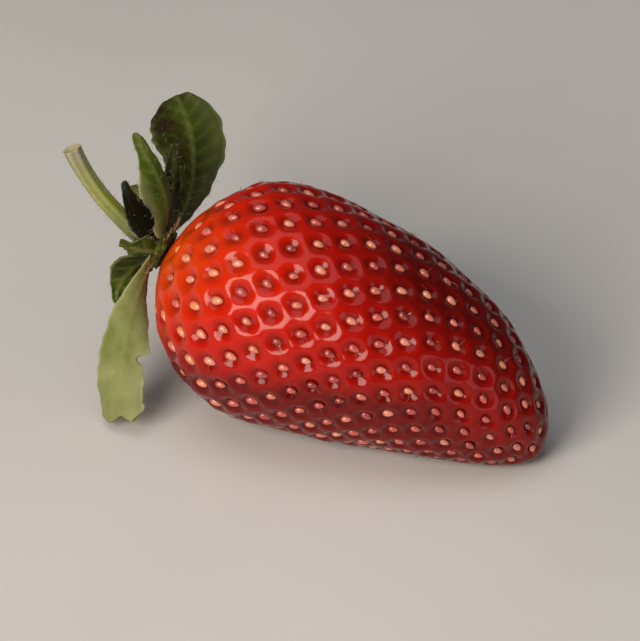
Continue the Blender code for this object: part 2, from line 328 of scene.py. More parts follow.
@dataclass(frozen=True)
class RipeSkin:
    """Ripe strawberry skin: a thin wet-looking cuticle over soft, light-carrying flesh.

    The cuticle gives small hard highlights on every raised rim, and the flesh under it glows
    red, more orange at the shoulder, where it ripens least. Its colour also holds painted
    light and shade, painted shade in the pits and a painted highlight on their rims.
    """

    shades: Stops = (
        (0.0, "#da4d0a"),
        (0.18, "#cf3306"),
        (0.34, "#c51c05"),
        (0.58, "#a60e04"),
        (1.0, "#5e0402"),
    )
    # Painted shade in the pits round the seeds.
    pit: str = "#5a0302"
    # Painted highlight on the rims of the pits.
    ridge: str = "#d42c14"
    blotch: float = 5 * MM
    smear: float = 1.4 * MM
    pore: float = 0.28 * MM

    def build(self) -> bpy.types.Material:
        """Builds the skin's material from how far it has ripened with painted light and shade, the
        painted shade of the pits and the painted highlight of their rims.

        Returns:
            The material.
        """
        kit = NodeKit("ripe_strawberry_skin")
        # Colour by ripening, with painted light and shade laid into it.
        ripeness_and_shading = kit.varied("ripe", 0.22, self.blotch, 4)
        base = kit.add("ValToRGB", {"stops": self.shades}, Fac=ripeness_and_shading)
        # Painted shade darkens the pits.
        pitted = kit.over(base, self.pit, "pit", 0.7)
        smears = kit.grain(self.smear, 3)
        return kit.shade(
            # Painted highlight on the rims of the pits.
            Base_Color=kit.over(pitted, self.ridge, "ridge", 0.12),
            Roughness=kit.add("Math", {"operation": "MULTIPLY_ADD"}, in0=smears, in1=0.16, in2=0.2),
            IOR=1.4,
            Normal=kit.relief(self.pore, 2, 0.05 * MM, 0.5),
            Subsurface_Weight=0.28,
            Subsurface_Radius=(1.0, 0.22, 0.12),
            Subsurface_Scale=2.2 * MM,
            Specular_IOR_Level=0.06,
            Coat_Weight=0.64,
            Coat_Roughness=0.12,
            Coat_IOR=1.4,
        )


@dataclass(frozen=True)
class SeedHusk:
    """Husk of a strawberry seed: a hard, smooth shell from straw yellow to red-brown."""

    shades: Stops = (
        (0.0, "#e68650"),
        (0.25, "#e18d71"),
        (0.5, "#cd6353"),
        (0.8, "#b0443c"),
        (1.0, "#7c2620"),
    )
    root: str = "#74170f"
    fleck: float = 0.6 * MM
    grit: float = 0.12 * MM

    def build(self) -> bpy.types.Material:
        """Builds the husk's material, darker at the seed's blunt end.

        Returns:
            The material.
        """
        kit = NodeKit("seed_husk")
        tone = kit.varied("tone", 0.4, self.fleck, 2)
        husk = kit.add("ValToRGB", {"stops": self.shades}, Fac=tone)
        behind = kit.add("MapRange", {"clamp": True}, Value="ahead", From_Min=0.35, From_Max=0.0)
        return kit.shade(
            Base_Color=kit.over(husk, self.root, behind, 0.7),
            Roughness=0.32,
            Subsurface_Weight=0.2,
            Subsurface_Radius=(1.0, 0.6, 0.3),
            Subsurface_Scale=0.4 * MM,
            Coat_Weight=0.9,
            Coat_Roughness=0.2,
            Normal=kit.relief(self.grit, 2, 0.02 * MM, 0.6),
        )


@dataclass(frozen=True)
class DryThread:
    """Dried style: a fine papery thread, straw to brown, without gloss."""

    pale: str = "#8f6a40"
    dark: str = "#46301a"
    fleck: float = 0.5 * MM

    def build(self) -> bpy.types.Material:
        """Builds the thread's material, which varies along each thread.

        Returns:
            The material.
        """
        kit = NodeKit("dried_style")
        tone = kit.varied("tone", 0.5, self.fleck, 2)
        return kit.shade(Base_Color=kit.over(self.pale, self.dark, tone), Roughness=0.7)


@dataclass(frozen=True)
class LeafBlade:
    """Sepal: a dull, slightly hairy leaf, dark olive above and grey-green below.

    Its veins are paler than the blade, and its thin edge has dried to straw colour. The dark brown
    of dried parts also serves as painted shade on one side of a leaf.
    """

    shades: Stops = (
        (0.0, "#0c1505"),
        (0.2, "#272c0a"),
        (0.42, "#42560f"),
        (0.6, "#5d6a22"),
        (0.8, "#7d8350"),
        (1.0, "#949865"),
    )
    vein: str = "#8d8c4e"
    # Dark brown of dried parts, also laid on as painted shade on one side of a leaf.
    dry: str = "#2b1f0b"
    edge: str = "#a6a376"
    mottle: float = 1.4 * MM
    patch: float = 4 * MM
    fleck: float = 0.9 * MM
    fuzz: float = 0.5 * MM
    pimple: float = 0.18 * MM

    def build(self) -> bpy.types.Material:
        """Builds the blade's material: mottled green, then veins, edge, dried parts and painted
        shade over it.

        Returns:
            The material.
        """
        kit = NodeKit("sepal_blade")
        tone = kit.varied(kit.varied("tone", 0.45, self.mottle, 4), 0.36, self.patch, 2)
        blade = kit.add("ValToRGB", {"stops": self.shades}, Fac=tone)
        veined = kit.over(blade, self.vein, "vein", 0.5)
        edged = kit.over(veined, self.edge, "edge", 0.75)
        flecks = kit.grain(self.fleck, 3)
        flecked = kit.add("MapRange", {"clamp": True}, Value=flecks, From_Min=0.25, From_Max=0.6)
        fuzz = kit.grain(self.fuzz, 2)
        return kit.shade(
            # Dark brown over dried parts and over the painted shade of one side.
            Base_Color=kit.over(edged, self.dry, "dry", flecked),
            Roughness=kit.add("Math", {"operation": "MULTIPLY_ADD"}, in0=fuzz, in1=0.25, in2=0.45),
            Specular_IOR_Level=0.1,
            Subsurface_Weight=0.25,
            Subsurface_Radius=(0.5, 1.0, 0.2),
            Subsurface_Scale=0.5 * MM,
            Sheen_Weight=0.03,
            Sheen_Roughness=0.4,
            Normal=kit.relief(self.pimple, 3, 0.04 * MM, 0.5),
        )


@dataclass(frozen=True)
class SepalHair:
    """Plant hair: a clear, pale thread that lights up along the leaves' edges."""

    pale: str = "#c6caa6"
    dull: str = "#8f946e"
    patch: float = 2 * MM

    def build(self) -> bpy.types.Material:
        """Builds the hairs' material, which varies from hair to hair.

        Returns:
            The material.
        """
        kit = NodeKit("plant_hair")
        tone = kit.varied("tone", 0.3, self.patch, 2)
        return kit.shade(Base_Color=kit.over(self.pale, self.dull, tone), Roughness=0.45)


@dataclass(frozen=True)
class StemRind:
    """Stalk: a juicy, faintly ribbed rind, olive at the foot and cream at the cut."""

    shades: Stops = (
        (0.0, "#3a3414"),
        (0.2, "#5f6423"),
        (0.5, "#969a46"),
        (0.8, "#9a9862"),
        (1.0, "#a29a80"),
    )
    # Painted shade in the grooves between the ribs.
    rib: str = "#4b5220"
    cut: str = "#bcae84"
    streak: float = 1.2 * MM
    grit: float = 0.15 * MM

    def build(self) -> bpy.types.Material:
        """Builds the rind's material, with painted shade in the grooves between its ribs and a
        cream cut.

        Returns:
            The material.
        """
        kit = NodeKit("stem_rind")
        place = kit.varied("along", 0.25, self.streak, 3)
        rind = kit.add("ValToRGB", {"stops": self.shades}, Fac=place)
        # Painted shade in the grooves between the ribs.
        ribbed = kit.over(rind, self.rib, "rib", 0.45)
        return kit.shade(
            Base_Color=kit.over(ribbed, self.cut, "cut"),
            Roughness=0.42,
            Subsurface_Weight=0.3,
            Subsurface_Radius=(0.7, 1.0, 0.3),
            Subsurface_Scale=0.8 * MM,
            Coat_Weight=0.1,
            Coat_Roughness=0.3,
            Normal=kit.relief(self.grit, 2, 0.03 * MM, 0.5),
        )


@dataclass(frozen=True)
class BerryForm:
    """A turned profile on a bent axis, which every piece on the skin follows."""

    length: float = 51.4 * MM
    radius: float = 14.7 * MM
    shoulder: float = 13.9 * MM
    power: float = 1.8
    bluntness: float = 0.6
    bend: float = math.radians(48)
    neck_tilt: float = math.radians(18.5)
    neck_fade: float = 9 * MM
    lump: float = 0.018
    rest_depth: float = 0.35 * MM
    rest_x: float = 24 * MM
    seeds: int = 400
    crowding: float = 2.3
    crowding_power: float = 0.8
    full_closeness: float = 1.5
    largest_scale: float = 1.05
    bare_height: float = 1.3 * MM
    bare_end: float = 1.1 * MM
    calyx_lift: float = 1.2 * MM
    calyx_tilt: float = math.radians(4)
    axis_steps: int = 600
    profile_steps: int = 2000
    nudge: float = 0.01 * MM
    nudge_turn: float = 0.001

    def slope(self, along: Array) -> Array:
        """Downward slope of the axis: a square law, and a tilt that fades from the calyx."""
        bent = self.bend * (along / self.length) ** 2
        return bent + self.neck_tilt * np.exp(-along / self.neck_fade)

    @cached_property
    def axis(self) -> tuple[Array, Array, Array]:
        """The axis as a table, added up from its slope.

        Returns:
            Distances along the axis with their X and Z.
        """
        along = np.linspace(0, self.length, self.axis_steps)
        slope = self.slope((along[1:] + along[:-1]) / 2)
        x = np.concatenate([[0], np.cumsum(np.cos(slope) * along[1])])
        z = np.concatenate([[0], -np.cumsum(np.sin(slope) * along[1])])
        return along, x, z

    def radius_at(self, along: Array) -> Array:
        """Radius of the profile: a superellipse shoulder, then a blunt power-law cone.

        Args:
            along: Distances along the axis.

        Returns:
            Radii in metres.
        """
        before = np.clip(1 - along / self.shoulder, 0, 1)
        after = np.clip((along - self.shoulder) / (self.length - self.shoulder), 0, 1)
        shoulder = (1 - before**self.power) ** (1 / self.power)
        cone = (1 - after**self.power) ** self.bluntness
        return self.radius * np.where(along < self.shoulder, shoulder, cone)

    def raw(self, along: Array, turn: Array) -> Array:
        """Skin before it is put in place.

        A point is the axis's own plus the radius in the plane square to the axis. The radius
        varies by two waves round the axis, which fade underneath.

        Args:
            along: Distances along the axis.
            turn: Angles round it from the top towards +Y.

        Returns:
            Points of the skin.
        """
        slope = self.slope(along)
        wave = np.cos(2 * turn + 1) + 0.6 * np.cos(3 * turn - 0.7 + 2 * np.pi * along / self.length)
        radius = self.radius_at(along) * (1 + self.lump * wave * (0.5 + 0.5 * np.cos(turn)))
        up = radius * np.cos(turn)
        table, x, z = self.axis
        ahead = np.interp(along, table, x) + up * np.sin(slope)
        height = np.interp(along, table, z) + up * np.cos(slope)
        return np.stack([ahead, radius * np.sin(turn), height], axis=-1)

    @cached_property
    def offset(self) -> Array:
        """Shift that puts the flat spot on Z = 0 with its middle at the origin."""
        along, turn = np.meshgrid(np.linspace(0, self.length, 200), np.linspace(0, 2 * np.pi, 181))
        return np.array([-self.rest_x, 0, -self.raw(along, turn)[..., 2].min() - self.rest_depth])

    def skin(self, along: Array, turn: Array) -> tuple[Array, Array]:
        """Points of the skin and its outward normals, from small steps both ways.

        Args:
            along: Distances along the axis.
            turn: Angles round it from the top towards +Y, of the same shape.

        Returns:
            Points and unit normals.
        """
        ahead = self.raw(np.minimum(along + self.nudge, self.length), turn)
        behind = self.raw(np.maximum(along - self.nudge, 0), turn)
        right, left = (self.raw(along, turn + k * self.nudge_turn) for k in (1, -1))
        return self.raw(along, turn) + self.offset, unit(np.cross(ahead - behind, right - left))

    def closeness(self, along: Array) -> Array:
        """Seeds on a patch of skin, set against the calyx end: 1 + crowding * share ** power."""
        return 1 + self.crowding * (along / self.length) ** self.crowding_power

    def seed_scale(self, along: Array) -> Array:
        """Size of a seed's own patch: 1 at full closeness, and one over its root elsewhere."""
        return np.minimum(np.sqrt(self.full_closeness / self.closeness(along)), self.largest_scale)

    def seed_sites(self) -> tuple[Array, Array]:
        """Equal shares of skin, a golden angle apart, without bare ends and underside.

        Returns:
            Distances along the axis and angles round it.
        """
        along = np.linspace(0, self.length, self.profile_steps)
        radius = self.radius_at(along)
        slant = np.hypot(np.gradient(radius, along), 1)
        share = np.cumsum(radius * slant * self.closeness(along))
        index = np.arange(self.seeds)
        site = np.interp((index + 0.5) / self.seeds, share / share[-1], along)
        turn = (index * GOLDEN_ANGLE) % (2 * np.pi)
        height = self.skin(site, turn)[0][:, 2]
        inner = (site > self.bare_end) & (site < self.length - self.bare_end)
        kept = inner & (height > self.bare_height)
        return site[kept], turn[kept]

    def seed_frames(self) -> tuple[Array, Array, Array, Array, Array]:
        """The seeds' places and directions.

        Returns:
            Place, forward, sideways and outward direction, and scale, of every seed.
        """
        site, turn = self.seed_sites()
        here, normal = self.skin(site, turn)
        ahead = self.skin(np.minimum(site + 0.1 * MM, self.length), turn)[0] - here
        forward = unit(ahead - normal * np.sum(ahead * normal, axis=1, keepdims=True))
        return here, forward, np.cross(normal, forward), normal, self.seed_scale(site)

    def calyx_frame(self) -> tuple[Array, Array, Array, Array]:
        """Where the calyx sits.

        Returns:
            Its foot on the skin with its outward, upward and cross directions.
        """
        slope = float(self.slope(np.array(0.0)))
        foot = self.offset + self.calyx_lift * np.array([math.sin(slope), 0, math.cos(slope)])
        slope += self.calyx_tilt
        outward = np.array([-math.cos(slope), 0, math.sin(slope)])
        upward = np.array([math.sin(slope), 0, math.cos(slope)])
        return foot, outward, upward, np.array([0.0, 1.0, 0.0])


@dataclass(frozen=True)
class RipenessAndShading:
    """How far the skin has ripened, from 0 where it is orange to 1 where it is deep red, with
    painted light and shade laid into it.

    It grows from the calyx to the tip. The side turned towards the key lamp is paler as
    painted light, and the sides away from it are deeper red as painted shade. The underside is
    deeper red as painted shade, and a patch on top is deeper red, partly the skin's own colour
    and partly painted shade.
    """

    start: float = -0.03
    gain: float = 0.9
    power: float = 0.8
    # Painted light: the side at pale_turn, turned towards the key lamp, is paler, and painted shade
    # makes the sides away from it deeper red.
    pale_turn: float = math.radians(315)
    pale_spread: float = math.radians(55)
    beside_gain: float = 0.34
    # A patch on top is deeper red, partly the skin's own colour and partly painted shade.
    patch_turn: float = math.radians(352)
    patch_spread: float = math.radians(42)
    patch_along: float = 31 * MM
    patch_length: float = 9 * MM
    patch_gain: float = 0.35
    # Painted shade: the underside is deeper red.
    under_gain: float = 0.75
    under_heights: tuple[float, float] = (16 * MM, 7 * MM)
    under_ends: tuple[float, float] = (44 * MM, 30 * MM)

    @staticmethod
    def apart(turn: Array, middle: float) -> Array:
        """Angle from a middle one, from minus half a turn to half a turn."""
        return (turn - middle + np.pi) % (2 * np.pi) - np.pi

    def at(self, along: Array, turn: Array, height: Array, length: float) -> Array:
        """How far points of the skin have ripened, with painted light and shade laid into it.

        It is start + gain * share ** power, plus 1 less a bell round the pale side, plus a
        bell round the patch, plus a smooth step to the underside, each times its own gain.

        Args:
            along: Distances along the axis.
            turn: Angles round it from the top towards +Y.
            height: Heights above the floor.
            length: Length of the axis.

        Returns:
            Numbers from about 0 to 1.
        """
        grown = self.start + self.gain * (along / length) ** self.power
        off_pale = self.apart(turn, self.pale_turn) / self.pale_spread
        off_patch = self.apart(turn, self.patch_turn) / self.patch_spread
        past_patch = (along - self.patch_along) / self.patch_length
        # beside is painted light and shade, under is painted shade, and patch is partly painted
        # shade.
        beside = self.beside_gain * (1 - np.exp(-(off_pale**2)))
        patch = self.patch_gain * np.exp(-(off_patch**2) - past_patch**2)
        under = smooth(*self.under_heights, height) * smooth(*self.under_ends, along)
        return grown + beside + patch + self.under_gain * under


@dataclass
class Flesh:
    """The berry's skin: the turned form with a dished pit round every seed."""

    form: BerryForm
    ripeness_and_shading: RipenessAndShading = RipenessAndShading()
    rows: int = 250
    columns: int = 384
    pit_depth: float = 0.8 * MM
    pit_length: float = 1.42 * MM
    pit_width: float = 1.24 * MM
    steepness: float = 1.25
    window: float = 4 * MM
    reach: float = 5 * MM
    dent: float = 0.12 * MM
    pole: float = 0.004

    def relief(self, points: Array) -> Array:
        """How deep the pits are at each point, from 0 to 1.

        Each seed adds its scale times exp(-q ** steepness), where q is the squared distance
        from it, measured in scaled pit lengths along the seed and pit widths across it. Only
        points in a window of X and within reach count, so a pit has no twin on the far side.

        Args:
            points: Points of the smooth skin.

        Returns:
            The summed depth share of every point.
        """
        place, forward, sideways, _, scale = self.form.seed_frames()
        flat = points.reshape(-1, 3)
        total = np.zeros(len(flat))
        for k in range(len(place)):
            near = np.flatnonzero(np.abs(flat[:, 0] - place[k, 0]) < self.window)
            gap = (flat[near] - place[k]) / scale[k]
            ahead, aside = gap @ forward[k] / self.pit_length, gap @ sideways[k] / self.pit_width
            q = ahead**2 + aside**2
            beyond = np.sum(gap * gap, axis=1) > self.reach**2
            total[near] += np.where(beyond, 0, scale[k] * np.exp(-(q**self.steepness)))
        return total.reshape(points.shape[:-1])

    def dents(self, points: Array) -> Array:
        """Low unevenness of the skin, which fades at the floor.

        It is a product of sine waves along X and Y, plus a sine wave over Z and X, whose
        wave numbers are in radians per millimetre.

        Args:
            points: Points of the smooth skin.

        Returns:
            Outward distance of every point in metres.
        """
        x, y, z = (points[..., k] / MM for k in range(3))
        waves = np.sin(0.55 * x + 1.3) * np.sin(0.6 * y + 0.4) + 0.6 * np.sin(0.9 * z + 0.35 * x)
        return self.dent * waves * smooth(0.5, 3, z)

    def build(self) -> bpy.types.Object:
        """Builds the flesh, whose vertices hold how far it has ripened with painted light and
        shade, the painted shade of the pits and the painted highlight of their rims.

        Returns:
            The flesh piece.
        """
        form = self.form
        # Rings lie closer at both ends, where the profile turns quickly.
        share = np.linspace(self.pole, math.pi - self.pole, self.rows)
        along = form.length * (1 - np.cos(share)) / 2
        along, turn = np.meshgrid(along, ring_angles(self.columns), indexing="ij")
        points, normals = form.skin(along, turn)
        pit = self.relief(points)
        # How far the skin has ripened, with painted light and shade laid into it.
        ripe = self.ripeness_and_shading.at(along, turn, points[..., 2], form.length)
        lift = self.dents(points) - self.pit_depth * pit
        points = points + normals * lift[..., None]
        points[..., 2] = np.maximum(points[..., 2], 0)
        # Ridges are the rims of the pits, where these are only a little deep. They get a painted
        # highlight.
        ridge = smooth(0.3, 0.02, pit) * smooth(0.02, 0.12, pit)
        uv = np.stack([turn / (2 * np.pi), along / form.length], -1)
        # Painted shade in the pits is weaker where the shoulder ripens less.
        shade = np.clip(pit, 0, 1) * (0.3 + 0.7 * smooth(0, 0.4, ripe))
        skin = Skin3D.tube(points, {"ripe": ripe, "pit": shade, "ridge": ridge}, uv)
        flesh = skin.to_object("flesh", RipeSkin().build())
        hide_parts("berry")
        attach(flesh, "root")
        return flesh


@dataclass
class Seeds:
    """The seeds: one small drop in each pit, blunt towards the calyx.

    Each is as large as its patch's scale to the power crowded, turned by up to half of yaw,
    and its end rings lie blunt_end and sharp_end, as angles, from the ends of half a turn.
    """

    form: BerryForm
    length: float = 1.6 * MM
    width: float = 1.04 * MM
    thickness: float = 0.9 * MM
    sunk: float = 0.6 * MM
    crowded: float = 0.7
    yaw: float = 0.6
    blunt_end: float = 0.2
    sharp_end: float = 0.14
    rings: int = 6
    sides: int = 8

    def build(self) -> bpy.types.Object:
        """Builds the seeds.

        Each seed is a ring of half width sin(a) ** 0.8 * (1 - 0.22 * s), where a runs from
        0 to pi along the seed and s from -1 to 1, so it is blunt behind and pointed ahead.

        Returns:
            All of them as one piece.
        """
        place, forward, _, normal, scale = self.form.seed_frames()
        index = np.arange(len(place))
        size = scale**self.crowded * (0.88 + 0.24 * scatter(index, 1))
        yaw = (self.yaw * (scatter(index, 2) - 0.5))[:, None]
        ahead = forward * np.cos(yaw) + np.cross(normal, forward) * np.sin(yaw)
        side = np.cross(normal, ahead)
        depth = self.sunk * scale * (0.9 + 0.25 * scatter(index, 3))
        centre = place - normal * depth[:, None]
        sweep = np.linspace(self.blunt_end, math.pi - self.sharp_end, self.rings)
        s = -np.cos(sweep)
        half = np.sin(sweep) ** 0.8 * (1 - 0.22 * s)
        angle = ring_angles(self.sides)
        # Axes of the grids below: seed, ring, place round the ring, X Y Z.
        round_side = side[:, None, None] * (np.cos(angle) * self.width / 2)[:, None]
        round_up = normal[:, None, None] * (np.sin(angle) * self.thickness / 2)[:, None]
        spread = half[:, None, None] * (round_side + round_up)
        reach = ahead[:, None, None] * (s * self.length / 2)[:, None, None]
        grids = centre[:, None, None] + size[:, None, None, None] * (reach + spread)
        # Seeds on the less ripe shoulder are paler and more yellow.
        tone = 0.22 + 0.72 * scatter(index, 4) ** 1.2 - 0.35 * smooth(0.88, 1.05, scale)
        values = {"tone": tone[:, None, None], "ahead": (s[:, None] + 1) / 2 + 0 * angle}
        uv = ring_uv(np.linspace(0, 1, self.rings), angle)
        seeds = Skin3D.tubes(grids, values, uv).to_object("seeds", SeedHusk().build())
        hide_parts("berry")
        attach(seeds, "root")
        return seeds


@dataclass
class Styles:
    """Dried styles: a short brown thread that lies over the skin from a share of the seeds."""

    form: BerryForm
    length: float = 1.5 * MM
    radius: float = 0.045 * MM
    share: float = 0.3
    start_depth: float = 0.45 * MM
    end_height: float = 0.1 * MM
    arch: float = 0.5 * MM
    rings: int = 6
    sides: int = 4

    def build(self) -> bpy.types.Object:
        """Builds the threads.

        A thread leaves the side of its seed, rises by 4 t (1 - t) over the pit's rim, and
        swings aside by the square of t, where t runs from 0 to 1 along it.

        Returns:
            All of them as one piece.
        """
        place, forward, sideways, normal, _ = self.form.seed_frames()
        index = np.flatnonzero(scatter(np.arange(len(place)), 7) < self.share)
        place, forward, sideways, normal = (v[index] for v in (place, forward, sideways, normal))
        turn = (2 * np.pi * scatter(index, 8))[:, None]
        ahead = forward * np.cos(turn) + sideways * np.sin(turn)
        aside = np.cross(normal, ahead)
        t = np.linspace(0, 1, self.rings)[:, None]
        reach = (self.length * (0.6 + 0.6 * scatter(index, 9)))[:, None, None]
        bend = (1.2 * (scatter(index, 10) - 0.5))[:, None, None]
        rise = (0.25 + 0.5 * scatter(index, 11))[:, None, None]
        forth = ahead[:, None] * reach * (t * (1 - 0.15 * t))
        swing = aside[:, None] * reach * bend * t * t
        arched = rise * self.arch * 4 * t * (1 - t)
        height = self.end_height * t - self.start_depth * (1 - t) + arched
        line = place[:, None] + forth + swing + normal[:, None] * height
        angle = ring_angles(self.sides)[:, None]
        spoke = aside[:, None] * np.cos(angle) + normal[:, None] * np.sin(angle)
        taper = self.radius * (1 - 0.6 * t[:, 0])
        grids = line[:, :, None] + spoke[:, None] * taper[:, None, None]
        values = {"tone": scatter(index, 12)[:, None, None]}
        uv = ring_uv(t[:, 0], angle[:, 0])
        styles = Skin3D.tubes(grids, values, uv).to_object("styles", DryThread().build())
        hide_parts("berry")
        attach(styles, "root")
        return styles


class Outline(Enum):
    """How a leaf's width runs from its foot to its end."""

    POINT = "point"
    BROAD = "broad"
    STRAP = "strap"


@dataclass(frozen=True)
class Leaf:
    """One leaf of the calyx: angles in degrees, sizes in millimetres.

    Tone runs from near black to pale green, and fades by that much more towards the end.
    dry is how brown its end has dried, painted_shade_side how brown one side is as
    painted shade, and pale how much paler one side is, the last two with a sign that says
    which side. It is paler from its foot to pale_end.
    Its rib lies at rib_at across, from -1 to 1.
    """

    angle: float
    length: float
    width: float
    lean_foot: float
    lean_tip: float
    twist: float
    outline: Outline
    tone: float = 0.3
    dry: float = 0.3
    painted_shade_side: float = 0.0
    rib_at: float = 0.0
    fade: float = 0.15
    pale: float = 0.0
    pale_end: float = 0.7

    def half_width(self, share: Array) -> Array:
        """Half width by the leaf's outline.

        A strap widens by a power law and keeps its width. A broad leaf widens so and ends in
        a quarter ellipse. A pointed one has half a sine for its belly and a power-law end.

        Args:
            share: Places from foot (0) to end (1).

        Returns:
            Half widths in metres.
        """
        widest = self.width * MM / 2
        if self.outline is Outline.STRAP:
            return widest * (0.3 + 0.7 * np.minimum(share / 0.7, 1) ** 1.2)
        if self.outline is Outline.BROAD:
            blunt = np.sqrt(1 - (np.clip(share - 0.72, 0, 1) / 0.3) ** 2)
            return widest * (0.22 + 0.78 * np.minimum(share / 0.72, 1) ** 1.3) * blunt
        belly = 0.5 + 0.5 * np.sin(np.pi * np.minimum(share / 0.8, 1) ** 0.8)
        return widest * (belly * np.sqrt(1 - share**2.6) + 0.03)


@dataclass
class Calyx:
    """The green cap: a small crown with wavy, veined leaves round it."""

    form: BerryForm
    crown_radius: float = 2.5 * MM
    crown_thickness: float = 1.5 * MM
    crown_gap: float = 0.35 * MM
    leaf_root: float = 1.2 * MM
    leaf_thickness: float = 0.5 * MM
    cup: float = 0.16
    wave: float = 0.45 * MM
    rib_width: float = 0.3 * MM
    rib_relief: float = 0.14 * MM
    puff: float = 0.05 * MM
    floor_gap: float = 0.4 * MM
    bumps: int = 10
    bump_height: float = 0.12 * MM
    crown_rings: int = 40
    crown_sides: int = 96
    rows: int = 110
    across: int = 24
    vein_spacing: float = 1.9 * MM
    torn: tuple[float, ...] = (-0.7 * MM, 0.5 * MM, -0.5 * MM, 0.4 * MM, -0.7 * MM)
    side_tear: float = 0.8 * MM
    leaves: tuple[Leaf, ...] = (
        # The broad leaf is browned on one side as painted shade.
        Leaf(
            79.5, 23.6, 9.6, -4, 51, -101, Outline.BROAD,
            tone=0.25, dry=0.25, painted_shade_side=-0.9, fade=0.08, pale=0.17, pale_end=2,
        ),
        Leaf(
            20, 13.2, 5.0, 29, 58, -57, Outline.POINT,
            tone=0.42, dry=0.1, rib_at=0.55, fade=-0.25, pale=-0.6,
        ),
        # Near black: painted shade, for a leaf in the shadow between the stalk and its neighbour.
        Leaf(-29, 12.5, 3.2, 50, 8, -30, Outline.POINT, tone=-0.2, dry=0.0),
        Leaf(48, 11.5, 3.6, 20, 30, -60, Outline.POINT, tone=0.05),
        Leaf(108, 14.5, 4.6, 20, 46, -14, Outline.POINT, tone=0.35),
        Leaf(136, 15.5, 6.2, 4, 38, 20, Outline.POINT, tone=0.3),
        Leaf(165, 11.0, 4.4, 10, 8, -20, Outline.POINT, tone=0.4),
        Leaf(-157, 8.2, 4.8, 44, -28, 70, Outline.POINT, tone=0.2, dry=0.1),
        Leaf(
            -141, 20.1, 7.0, -5, -35, 125, Outline.STRAP,
            tone=0.72, dry=0.05, pale=-0.4, pale_end=2,
        ),
        Leaf(-85, 4.6, 3.6, 48, 66, -10, Outline.POINT, tone=0.25, dry=0.8),
    )

    def leaf_spine(self, leaf: Leaf, share: Array) -> tuple[Array, Array, Array, Array]:
        """A leaf's middle line and its directions.

        The line starts at the crown and leans away from the berry by an angle that grows
        evenly. The leaf turns round it by its twist, along a quarter of a sine.

        Args:
            leaf: Its sizes.
            share: Even steps from foot (0) to end (1).

        Returns:
            Points of the line, and the directions across, off and along the leaf there.
        """
        origin, outward, upward, cross = self.form.calyx_frame()
        turn = math.radians(leaf.angle)
        spoke = upward * math.cos(turn) + cross * math.sin(turn)
        flank = -upward * math.sin(turn) + cross * math.cos(turn)
        lean = np.radians(leaf.lean_foot + (leaf.lean_tip - leaf.lean_foot) * share)
        step = leaf.length * MM / (self.rows - 1)
        halfway = (lean[1:] + lean[:-1]) / 2
        run = np.concatenate([[0], np.cumsum(np.cos(halfway) * step)])
        rise = np.concatenate([[0], np.cumsum(np.sin(halfway) * step)])
        seat = self.crown_gap + 0.6 * self.crown_thickness
        foot = origin + outward * seat + spoke * self.leaf_root
        middle = foot + run[:, None] * spoke + rise[:, None] * outward
        spin = np.radians(leaf.twist) * np.sin(np.pi / 2 * share)
        face = np.cos(lean)[:, None] * outward - np.sin(lean)[:, None] * spoke
        ahead = np.cos(lean)[:, None] * spoke + np.sin(lean)[:, None] * outward
        side = np.cos(spin)[:, None] * flank + np.sin(spin)[:, None] * face
        normal = np.cos(spin)[:, None] * face - np.sin(spin)[:, None] * flank
        return middle, side, normal, ahead

    def leaf_grid(self, index: int, leaf: Leaf) -> tuple[Array, dict[str, Array], Array]:
        """One leaf as a flat tube: two sheets that meet along its edge.

        Across its middle line the sheet is cupped by the square of the place across, its
        edge waves by a sine, and veins stand out below and sink in above.

        Args:
            index: Number of the leaf, which shifts its waves.
            leaf: Its sizes.

        Returns:
            Points, the values held at them, and their texture places.
        """
        share = np.linspace(0, 1, self.rows)
        middle, side, normal, ahead = self.leaf_spine(leaf, share)
        # The ring runs over the upper sheet from edge to edge and back along the lower one.
        beam = ring_angles(2 * self.across)
        v = np.cos(beam)[None, :] + 0 * share[:, None]
        upper = np.where(beam <= np.pi, 1.0, -1.0)[None, :]
        half = leaf.half_width(share)[:, None]
        u = share[:, None]
        thick = self.leaf_thickness / 2 * np.sqrt(np.clip(1 - v**6, 0, 1)) * (1 - 0.35 * v * v)
        lift = self.cup * half * v * v
        lift = lift + self.wave * u * np.abs(v) * np.sin(9 * u + 2.4 * v + index)
        from_rib = np.abs(v - leaf.rib_at * (1 - u)) * half
        rib = np.exp(-((from_rib / self.rib_width) ** 2)) * (1 - 0.5 * u)
        phase = (u * leaf.length * MM - 0.9 * from_rib) / self.vein_spacing + 0.5 * (v > 0)
        vein = np.cos(np.pi * phase) ** 12 * smooth(0.98, 0.5, np.abs(v)) * smooth(0.04, 0.15, u)
        lines = np.clip(rib + 0.4 * vein, 0, 1)
        raised = np.where(upper > 0, -0.5, 0.8) * self.rib_relief * lines
        puff = self.puff * np.sin(np.pi * phase) ** 2 * (1 - v * v)
        nicks = 0.03 * np.sin(31 * u + 5 * index)
        nicks = nicks + 0.02 * np.sin(67 * u + 2 * np.sign(v) + index)
        tooth, torn_side = np.zeros_like(v), np.zeros_like(v)
        if leaf.outline is Outline.STRAP:
            places = np.linspace(-1, 1, len(self.torn))
            tooth = np.interp(v, places, np.array(self.torn)) * smooth(0.86, 1, u)
            notch = np.exp(-(((u - 0.64) / 0.025) ** 2))
            bite = self.side_tear * (smooth(0.6, 0.62, u) + 0.9 * notch)
            torn_side = -np.where(v < 0, v, 0) ** 2 * bite
        points = (
            middle[:, None]
            + side[:, None] * (v * half * (1 + nicks * np.abs(v) ** 3) - torn_side)[..., None]
            + normal[:, None] * (lift + upper * (thick + raised + puff))[..., None]
            + ahead[:, None] * tooth[..., None]
        )
        points[..., 2] = np.maximum(points[..., 2], self.floor_gap)
        tone = leaf.tone + 0.06 * (upper < 0) + leaf.fade * (u - 0.5)
